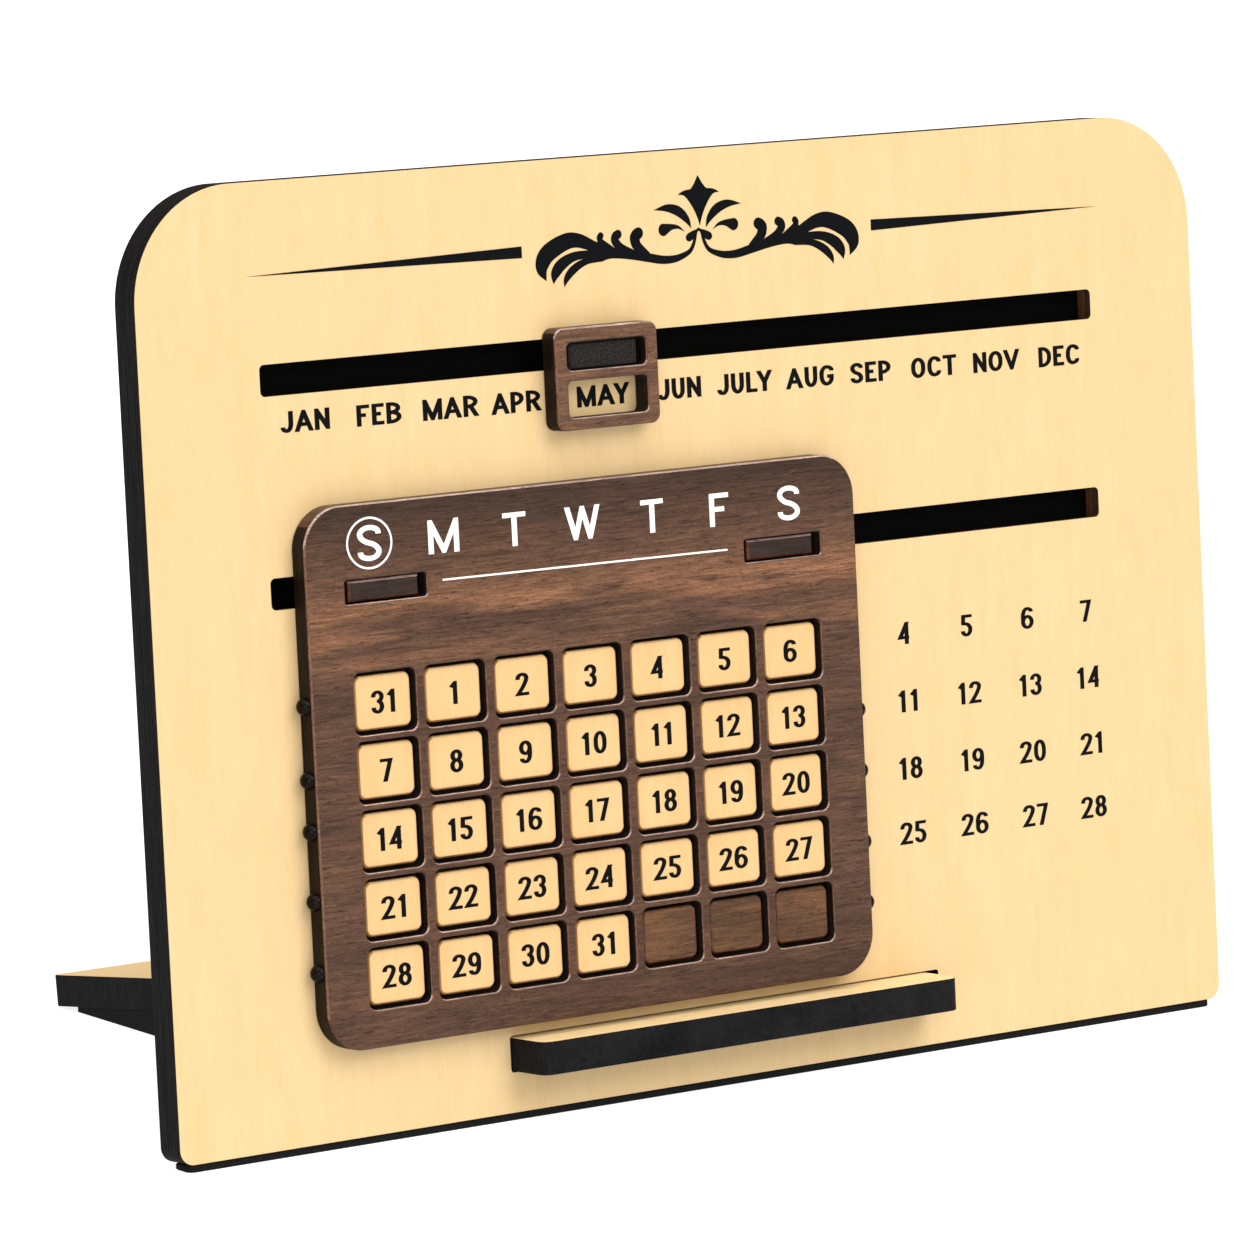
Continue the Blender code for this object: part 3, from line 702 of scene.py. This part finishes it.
tile = {
    "width": 0.0127, "height": 0.01025, "thickness": 0.0018, "corner": 0.0015, "rim": 0.00065,
    "back": -0.0015, "blanks": 3,
}


def pickTile(face):
    # The face and the eased edge are clean, but for a darker golden rim at the left and below, painted shade on the
    # edges turned away from the light
    forward = -face.normal.y
    if forward < 0.97 and (face.normal.x < -0.2 or face.normal.z < -0.3):
        return 2 if forward > 0.15 else 1
    return 0 if forward > 0.35 else 1


tileFront = tile["back"] - tile["thickness"]
tileCount = weekFrame["rows"] * weekFrame["columns"]
for row in range(1, weekFrame["rows"] + 1):
    for column in range(1, weekFrame["columns"] + 1):
        number = (row - 1) * weekFrame["columns"] + column
        blank = number > tileCount - tile["blanks"]
        node = f"{'blank' if blank else 'date'}_tile_{row}_{column}"
        shape = makePlate(tile["width"], tile["height"], tile["corner"], tile["back"], tileFront,
                          cellMiddle(row, column), 6, tile["rim"], 4)
        finishPiece(shape, f"{'blank' if blank else 'number'}_block_{row}_{column}", node,
                    [walnutBlank, windowWall, shadedRedEdge] if blank else [mapleFace, mapleSide, shadedGoldenRim], pickTile, [node])
print("tiles made")


# Lettering: each glyph is a few pen strokes through corners given as shares of its box. A third
# number of 1 makes a corner round, and "loop" joins the last corner to the first

glyphs = {
    "A": (((0, 0), (.5, 1), (1, 0)), ((.18, .3), (.82, .3))),
    "B": (("loop", (0, .53), (0, 1), (.92, 1, 1), (.92, .53, 1)), ("loop", (0, 0), (0, .53), (1, .53, 1), (1, 0, 1))),
    "C": (((1, .76), (1, 1, 1), (0, 1, 1), (0, 0, 1), (1, 0, 1), (1, .24)),),
    "D": (("loop", (0, 0), (0, 1), (1, 1, 1), (1, 0, 1)),),
    "E": (((1, 1), (0, 1), (0, 0), (1, 0)), ((0, .52), (.9, .52))),
    "F": (((0, 0), (0, 1), (1, 1)), ((0, .52), (.86, .52))),
    "G": (((1, .76), (1, 1, 1), (0, 1, 1), (0, 0, 1), (1, 0, 1), (1, .45), (.55, .45)),),
    "J": (((1, 1), (1, 0, 1), (0, 0, 1), (0, .22)),),
    "L": (((0, 1), (0, 0), (1, 0)),),
    "M": (((0, 0), (0, 1), (.5, 0), (1, 1), (1, 0)),),
    "N": (((0, 0), (0, 1), (1, 0), (1, 1)),),
    "O": (("loop", (0, 0, 1), (1, 0, 1), (1, 1, 1), (0, 1, 1)),),
    "P": (("loop", (0, .42), (0, 1), (1, 1, 1), (1, .42, 1)), ((0, 0), (0, .5))),
    "R": (("loop", (0, .48), (0, 1), (1, 1, 1), (1, .48, 1)), ((0, 0), (0, .6)), ((.5, .48), (1, 0))),
    "S": (((1, .78), (1, 1, 1), (0, 1, 1), (0, .58, 1), (1, .42, 1), (1, 0, 1), (0, 0, 1), (0, .22)),),
    "T": (((0, 1), (1, 1)), ((.5, 0), (.5, 1))),
    "U": (((0, 1), (0, 0, 1), (1, 0, 1), (1, 1)),),
    "V": (((0, 1), (.5, 0), (1, 1)),),
    "W": (((0, 1), (.25, 0), (.5, 1), (.75, 0), (1, 1)),),
    "Y": (((0, 1), (.5, .42), (1, 1)), ((.5, 0), (.5, .5))),
    "0": (("loop", (0, 0, 1), (1, 0, 1), (1, 1, 1), (0, 1, 1)),),
    "1": (((0, .78), (1, 1), (1, 0)),),
    "2": (((0, .74), (0, 1, 1), (1, 1, 1), (1, .62, 1), (0, 0), (1, 0)),),
    "3": (((0, .76), (0, 1, 1), (1, 1, 1), (1, .54, 1), (.4, .54)), ((.4, .54), (1, .54, 1), (1, 0, 1), (0, 0, 1), (0, .24))),
    "4": (((.72, 0), (.72, 1)), ((.72, 1), (0, .27), (1, .27))),
    "5": (((1, 1), (.1, 1), (.05, .54)), ((.05, .6), (1, .6, 1), (1, 0, 1), (0, 0, 1), (0, .22))),
    "6": (("loop", (0, 0, 1), (1, 0, 1), (1, .58, 1), (0, .58, 1)), ((0, .3), (0, 1, 1), (.95, 1, 1), (.95, .82))),
    "7": (((0, 1), (1, 1), (.34, 0)),),
    "8": (("loop", (.06, .54, 1), (.94, .54, 1), (.94, 1, 1), (.06, 1, 1)), ("loop", (0, 0, 1), (1, 0, 1), (1, .54, 1), (0, .54, 1))),
    "9": (("loop", (0, .42, 1), (1, .42, 1), (1, 1, 1), (0, 1, 1)), ((1, .7), (1, 0, 1), (.05, 0, 1), (.05, .18))),
}
glyphWidths = {    # as shares of the height
    "A": 1.02, "B": .87, "C": .87, "D": .83, "E": .71, "F": .75, "G": .90, "J": .73, "L": .69, "M": 1.14,
    "N": .87, "O": .91, "P": .79, "R": .85, "S": .80, "T": .87, "U": .80, "V": 1.0, "W": 1.3, "Y": .88,
    "0": .74, "1": .47, "2": .74, "3": .70, "4": .80, "5": .70, "6": .78, "7": .70, "8": .73, "9": .73,
}
lettering = {      # in millimetres
    "months": {"height": 3.95, "stem": 1.05, "bar": 0.68, "gap": 0.52, "wide": 0.98},
    "dates": {"height": 4.28, "stem": 1.00, "bar": 0.60, "gap": 0.54, "wide": 0.95},
    "weekdays": {"height": 6.30, "stem": 1.18, "bar": 0.92, "gap": 0.80, "wide": 0.97},
    "weekends": {"height": 6.65, "stem": 1.18, "bar": 0.94, "gap": 0.80, "wide": 1.0},
}
closer = {"AY": 0.50, "LY": 0.45, "MA": 0.15, "OV": 0.20, "JA": 0.15, "AN": 0.10, "AP": 0.10}   # millimetres
inkSink = 0.01     # how deep a printed shape starts, and how far it stands out, in millimetres
inkRise = 0.04


def withoutRepeats(points, closed):
    kept = []
    for point in points:
        if not kept or (point - kept[-1]).length > 1e-5:
            kept.append(point)
    if closed and (kept[0] - kept[-1]).length < 1e-5:
        kept.pop()
    return kept


def roundCorners(corners, closed, bend):
    """The centre line through a stroke's corners, with the soft ones turned into curves."""
    line = []
    for index, (point, soft) in enumerate(corners):
        if not soft:
            line.append(point)
            continue
        ends = []
        for other, otherSoft in (corners[index - 1], corners[(index + 1) % len(corners)]):
            side = other - point
            share = 0.5 if otherSoft else 0.8
            reach = share * side.length
            if abs(side.y) > abs(side.x):
                reach = min(reach, bend)
            ends.append(point + side.normalized() * reach)
        handle = 0.5523
        first = ends[0].lerp(point, handle)
        second = ends[1].lerp(point, handle)
        for step in range(9):
            t = step / 8
            line.append(ends[0] * (1 - t) ** 3 + first * 3 * t * (1 - t) ** 2 + second * 3 * t * t * (1 - t) + ends[1] * t ** 3)
    return withoutRepeats(line, closed)


def penSides(line, halves, closed):
    """The lines that a pen's two sides leave, with mitred corners."""
    sides = ([], [])
    for index, point in enumerate(line):
        ways = []
        if closed or index:
            ways.append((point - line[index - 1]).normalized())
        if closed or index < len(line) - 1:
            ways.append((line[(index + 1) % len(line)] - point).normalized())
        normals = [Vector((-way.y, way.x)) for way in ways]
        total = normals[0] + normals[-1]
        mitre = total / (1 + normals[0].dot(normals[-1]))
        sides[0].append(point + mitre * halves[index])
        sides[1].append(point - mitre * halves[index])
    return sides


def addBand(shape, sides, closed):
    # Draws the first line's edges and pulls a copy of each corner over to the second line
    near = [shape.verts.new((x, 0, z)) for x, z in sides[0]]
    pairs = list(zip(near, near[1:]))
    if closed:
        pairs.append((near[-1], near[0]))
    edges = [shape.edges.new(pair) for pair in pairs]
    places = dict(zip(near, sides[1]))
    for part in bmesh.ops.extrude_edge_only(shape, edges=edges)["geom"]:
        if isinstance(part, bmesh.types.BMVert):
            source = next(vert for vert in (edge.other_vert(part) for edge in part.link_edges) if vert in places)
            x, z = places[source]
            part.co = (x, 0, z)


def thicken(shape, extra=0):
    # From a little inside the surface to a little outside it
    bmesh.ops.remove_doubles(shape, verts=shape.verts[:], dist=1e-4)
    raised = bmesh.ops.extrude_face_region(shape, geom=shape.faces[:])["geom"]
    moved = [part for part in raised if isinstance(part, bmesh.types.BMVert)]
    bmesh.ops.translate(shape, vec=(0, -inkRise - extra, 0), verts=moved)
    bmesh.ops.translate(shape, vec=(0, inkSink + extra, 0), verts=[vert for vert in shape.verts if vert not in moved])
    bmesh.ops.recalc_face_normals(shape, faces=shape.faces[:])
    return shape


def makeGlyph(character, style):
    """One letter or figure in millimetres, from the left end of its base line."""
    height, stem, bar = style["height"], style["stem"], style["bar"]
    squeeze = bar / stem              # the pen is wider than high, so its strokes are worked out squeezed
    half = bar / 2
    width = glyphWidths[character] * height * style["wide"]
    box = Vector(((width - stem) * squeeze, height - bar))
    start = Vector((half, half))
    parts = []
    for order, stroke in enumerate(glyphs[character]):
        closed = stroke[0] == "loop"
        corners = []
        for x, z, *soft in (stroke[1:] if closed else stroke):
            corners.append((start + Vector((x * box.x, z * box.y)), bool(soft)))
        if not closed:
            for end, beside in ((0, 1), (-1, -2)):
                point = corners[end][0]
                rise = (point.y - half) / box.y
                if rise < 0.001 or rise > 0.999:
                    way = (point - corners[beside][0]).normalized()
                    past = half if abs(way.y) < 0.2 else 3 * half
                    corners[end] = (point + way * past, False)
        line = roundCorners(corners, closed, 0.36 * height)
        flat = bmesh.new()
        # Crossing strokes differ a little in width and thickness, so no two of their faces coincide
        addBand(flat, penSides(line, [half * (1 + 0.012 * order)] * len(line), closed), closed)
        bmesh.ops.scale(flat, vec=(1 / squeeze, 1, 1), verts=flat.verts[:])
        for level, outward in ((0, -1), (height, 1)):
            everything = flat.verts[:] + flat.edges[:] + flat.faces[:]
            bmesh.ops.bisect_plane(flat, geom=everything, dist=1e-5, plane_co=(0, 0, level),
                                   plane_no=(0, 0, outward), clear_outer=True)
        parts.append(thicken(flat, 0.002 * order))
    whole = gather(parts)
    mesh = bpy.data.meshes.new("glyph")
    whole.to_mesh(mesh)
    whole.free()
    return mesh, width


glyphStore = {}


def addWord(shape, word, styleName, across, rise):
    """Adds a word in millimetres, its middle at this place on the board's face."""
    style = lettering[styleName]
    placed = []
    reach = 0
    for index, character in enumerate(word):
        if (character, styleName) not in glyphStore:
            glyphStore[character, styleName] = makeGlyph(character, style)
        mesh, width = glyphStore[character, styleName]
        placed.append((mesh, reach))
        reach += width
        if index < len(word) - 1:
            reach += style["gap"] - closer.get(word[index:index + 2], 0)
            reach += 0.12 * style["height"] if character == "1" else 0
    for mesh, left in placed:
        known = len(shape.verts)
        shape.from_mesh(mesh)
        shape.verts.ensure_lookup_table()
        bmesh.ops.translate(shape, vec=(across - reach / 2 + left, 0, rise - style["height"] / 2), verts=shape.verts[known:])


def finishPrint(shape, name, body, material, depth):
    """Scales a printed shape from millimetres and lays it on a surface at a depth in the board."""
    bmesh.ops.scale(shape, vec=(millimetre, millimetre, millimetre), verts=shape.verts[:])
    bmesh.ops.translate(shape, vec=(0, depth, 0), verts=shape.verts[:])
    return finishPiece(shape, name, body, [material], None, (), 40, False)


halfBoard = board["width"] / 2 / millimetre
monthNames = {     # middle of each name from the board's left side
    "JAN": 35.72, "FEB": 52.21, "MAR": 68.35, "APR": 83.40, "MAY": 103.6, "JUN": 121.65,
    "JULY": 137.2, "AUG": 153.1, "SEP": 167.95, "OCT": 183.62, "NOV": 199.27, "DEC": 215.2,
}
print_ = bmesh.new()
for name, across in monthNames.items():
    addWord(print_, name, "months", across - halfBoard, 133.7 - (across - 35.7) / 179.5 * 1.7)
finishPrint(print_, "month_names", "stand", blackInk, 0)

printedDates = {
    "columns": (173.4, 188.9, 204.3, 219.3),
    "rows": ((81.1, 4), (67.85, 11), (54.7, 18), (42.05, 25)),      # height, first date
}
print_ = bmesh.new()
for rise, first in printedDates["rows"]:
    for step, across in enumerate(printedDates["columns"]):
        addWord(print_, str(first + step), "dates", across - halfBoard, rise)
finishPrint(print_, "printed_dates", "stand", blackInk, 0)

frontFace = walnutSheet["front"]
weekdays = (("S", 45.6), ("M", 62.3), ("T", 78.5), ("W", 94.25), ("T", 110.55), ("F", 126.45), ("S", 143.15))
weekdayPrint = {"left": 110.4, "right": 109.3, "ring": (4.95, 4.65), "ringLine": 0.4,
                "rule": ((61.6, 102.1), (128.0, 101.7)), "ruleLine": 0.36}
print_ = bmesh.new()
for letter, across in weekdays:
    share = (across - weekdays[0][1]) / (weekdays[-1][1] - weekdays[0][1])
    rise = weekdayPrint["left"] + (weekdayPrint["right"] - weekdayPrint["left"]) * share
    addWord(print_, letter, "weekends" if letter == "S" else "weekdays", across - halfBoard, rise)
finishPrint(print_, "weekday_letters", "week_slide", whiteInk, frontFace)

ring = bmesh.new()
turns = [2 * math.pi * step / 72 for step in range(72)]
centre = Vector((weekdays[0][1] - halfBoard, weekdayPrint["left"]))
wide, high = weekdayPrint["ring"]
circle = [centre + Vector((wide * math.cos(turn), high * math.sin(turn))) for turn in turns]
addBand(ring, penSides(circle, [weekdayPrint["ringLine"] / 2] * len(circle), True), True)
finishPrint(thicken(ring), "weekday_ring", "week_slide", whiteInk, frontFace)

rule = bmesh.new()
ends = [Vector((x - halfBoard, z)) for x, z in weekdayPrint["rule"]]
addBand(rule, penSides(ends, [weekdayPrint["ruleLine"] / 2] * 2, False), False)
finishPrint(thicken(rule), "weekday_rule", "week_slide", whiteInk, frontFace)

for row in range(1, weekFrame["rows"] + 1):
    for column in range(1, weekFrame["columns"] + 1):
        number = (row - 1) * weekFrame["columns"] + column - 1
        if number >= tileCount - tile["blanks"]:
            continue
        across, rise = (value / millimetre for value in cellMiddle(row, column))
        print_ = bmesh.new()
        addWord(print_, str(number or 31), "dates", across, rise)
        finishPrint(print_, f"number_{row}_{column}", f"date_tile_{row}_{column}", blackInk, tileFront)
print("lettering made")


# Scroll ornament, in millimetres from its middle: each brush stroke is a curve through points with
# the brush's half width. The right half is drawn and mirrored

ornament = {
    "middle": (128.0, 158.0),
    "stepsPerPoint": 7,
    "paired": (
        ("round", "point", (0, 4.75, .25), (.6, 4.2, .3), (.95, 3.1, .36), (1.36, 1.97, .38), (2.2, .75, .44),
         (3.77, -.02, .56), (6.0, -.55, .7), (8.8, -.55, .8), (12.2, .1, .86), (16.5, .95, .9), (20.5, 1.5, 1.0), (24.3, 2.1, 1.85), (26.5, 2.9, 0)),
        ("round", "point", (24.5, 2.9, 1.0), (28.4, 4.4, 1.34), (31.6, 4.3, 1.6), (35.8, 2.3, 1.75),
         (37.1, -.2, 1.4), (36.2, -2.73, 0)),
        ("round", "point", (25.0, 1.7, .7), (29.4, 1.5, .86), (32.5, .2, 1.15), (34.1, -1.5, 1.0), (34.6, -3.4, 0)),
        ("round", "point", (23.0, 1.0, .9), (26.2, .5, .62), (28.3, -.12, .74), (30.3, -1.3, .82), (31.6, -2.7, .6), (32.1, -4.14, 0)),
        ("round", "round", (20.2, 2.0, .5), (21.1, 2.6, .5), (23.0, 3.7, .65), (23.5, 4.6, .55), (23.15, 4.95, .68)),
        ("round", "round", (15.6, 1.3, .5), (18.5, 2.4, .8), (19.8, 3.7, .88), (19.75, 4.6, .85), (19.1, 4.95, .88)),
        ("round", "round", (12.1, .9, .3), (14.6, 2.4, 1.0), (15.2, 3.8, 1.12), (14.95, 4.5, 1.1), (14.3, 4.85, 1.12)),
        ("round", "round", (0.3, 4.5, .25), (1.2, 4.05, .5), (1.9, 3.5, .78), (2.35, 3.25, .78)),
        ("point", "point", (1.7, 4.91, 0), (2.8, 6.8, .68), (4.7, 8.4, .95), (7.3, 9.15, .7), (10.4, 8.95, 0)),
        ("point", "round", (3.3, 4.42, 0), (4.8, 5.35, .3), (6.5, 5.5, .6), (8.3, 5.1, 1.2)),
    ),
    "palmetteShift": 0.35,
    "palmette": (      # the right half's outline, from its tip down
        (0, 14.92), (.45, 14.2), (.98, 13.35), (1.5, 12.72), (1.95, 12.34), (2.7, 12.3), (3.5, 12.17), (4.3, 11.85),
        (4.9, 11.45), (4.1, 11.43), (3.4, 11.2), (2.75, 10.6), (2.05, 9.7), (1.5, 8.85), (.95, 7.85), (.5, 6.85),
        (.2, 6.0), (0, 5.24),
    ),
    "lines": (         # each from its tip to the two corners of its blunt end
        ((24.0, 160.8), (86.44, 162.2), (86.44, 160.0)),
        ((226.5, 160.7), (169.6, 159.65), (169.6, 161.8)),
    ),
}


ornamentMiddle = (ornament["middle"][0] - halfBoard, 0, ornament["middle"][1])


def smoothPath(points, steps):
    """A curve through points, each with the brush's half width as its third number."""
    path = [Vector(point) for point in points]
    padded = [2 * path[0] - path[1]] + path + [2 * path[-1] - path[-2]]
    curve = []
    for index in range(1, len(padded) - 2):
        a, b, c, d = padded[index - 1:index + 3]
        for step in range(steps):
            t = step / steps
            curve.append(0.5 * (2 * b + (c - a) * t + (2 * a - 5 * b + 4 * c - d) * t * t + (3 * b - a - 3 * c + d) * t ** 3))
    curve.append(path[-1])
    return curve


def makeBrush(stroke, flip=1, order=0):
    startForm, endForm, *points = stroke
    curve = smoothPath(points, ornament["stepsPerPoint"])
    line = [Vector((point.x * flip, point.y)) for point in curve]
    halves = [max(point.z, 0) for point in curve]
    for form, atStart in ((startForm, True), (endForm, False)):
        if form != "round":
            continue
        end, beside, half = (line[0], line[1], halves[0]) if atStart else (line[-1], line[-2], halves[-1])
        way = (end - beside).normalized()
        for step in range(1, 7):
            angle = math.pi / 2 * step / 6
            point, reach = end + way * half * math.sin(angle), half * math.cos(angle)
            line.insert(0, point) if atStart else line.append(point)
            halves.insert(0, reach) if atStart else halves.append(reach)
    halves = [half if half > 0.004 else 0.0 for half in halves]
    halves[0] = halves[-1] = 0.0
    flat = bmesh.new()
    addBand(flat, penSides(line, halves, False), False)
    bmesh.ops.translate(flat, vec=ornamentMiddle, verts=flat.verts[:])
    return thicken(flat, 0.0015 * order)


brushes = [makeBrush(stroke, flip, order) for order, stroke in enumerate(ornament["paired"]) for flip in (1, -1)]
palmette = bmesh.new()
halfOutline = [Vector(point) for point in ornament["palmette"]]
addBand(palmette, (halfOutline, [Vector((-point.x, point.y)) for point in halfOutline]), False)
bmesh.ops.translate(palmette, vec=(ornament["palmetteShift"], 0, 0), verts=palmette.verts[:])
bmesh.ops.translate(palmette, vec=ornamentMiddle, verts=palmette.verts[:])
brushes.append(thicken(palmette, 0.0015 * len(ornament["paired"])))
scroll = gather(brushes)
finishPrint(scroll, "scroll_ornament", "stand", blackInk, 0)

lines = bmesh.new()
for corners in ornament["lines"]:
    lines.faces.new([lines.verts.new((x - halfBoard, 0, z)) for x, z in corners])
finishPrint(thicken(lines), "tapered_lines", "stand", blackInk, 0)
print("ornament made")


# Studio: pale floor, soft light and the camera at the photograph's view

studio = {
    "floorSize": 60.0,
    "cameraPlace": (-0.88996, -1.22576, 0.32908),
    "cameraTurn": (80.6906, -0.0427, -36.7008),
    "lens": 224.225,
    "world": 0.42,
    "worldColour": (1.0, 0.84, 0.60, 1.0),
    "floorShade": 0.35,
    "floorGlow": 0.86,
    "lights": (
        # name, where it shines from, strength, softness in degrees
        ("key_light", (0.20, -0.70, 0.70), 2.15, 42),
        ("top_light", (-0.25, -0.06, 0.97), 1.90, 50),
        ("front_light", (-0.52, -0.80, 0.26), 1.05, 36),
    ),
}
floor = bmesh.new()
bmesh.ops.create_grid(floor, x_segments=1, y_segments=1, size=studio["floorSize"] / 2)
floorMesh = bpy.data.meshes.new("floor")
floor.to_mesh(floorMesh)
floor.free()
floorPiece = bpy.data.objects.new("floor", floorMesh)
scene.collection.objects.link(floorPiece)
floorPaint = bpy.data.materials.new("floor_paint")
floorPaint.use_nodes = True
floorPaint.node_tree.nodes["Principled BSDF"].inputs["Base Color"].default_value = (*[studio["floorShade"]] * 3, 1)
floorPaint.node_tree.nodes["Principled BSDF"].inputs["Roughness"].default_value = 0.9
floorPaint.node_tree.nodes["Principled BSDF"].inputs["Emission Color"].default_value = (1, 1, 1, 1)
floorPaint.node_tree.nodes["Principled BSDF"].inputs["Emission Strength"].default_value = studio["floorGlow"]
floorMesh.materials.append(floorPaint)

world = bpy.data.worlds.new("studio")
world.use_nodes = True
world.node_tree.nodes["Background"].inputs["Color"].default_value = studio["worldColour"]
world.node_tree.nodes["Background"].inputs["Strength"].default_value = studio["world"]
scene.world = world

for name, source, strength, softness in studio["lights"]:
    light = bpy.data.lights.new(name, "SUN")
    light.energy = strength
    light.angle = math.radians(softness)
    lamp = bpy.data.objects.new(name, light)
    lamp.rotation_euler = Vector(source).to_track_quat("Z", "Y").to_euler()
    scene.collection.objects.link(lamp)

cameraData = bpy.data.cameras.new("camera")
cameraData.lens = studio["lens"]
cameraData.sensor_width = 36
camera = bpy.data.objects.new("camera", cameraData)
camera.location = studio["cameraPlace"]
camera.rotation_euler = Euler([math.radians(angle) for angle in studio["cameraTurn"]])
scene.collection.objects.link(camera)
scene.camera = camera
print("studio made")
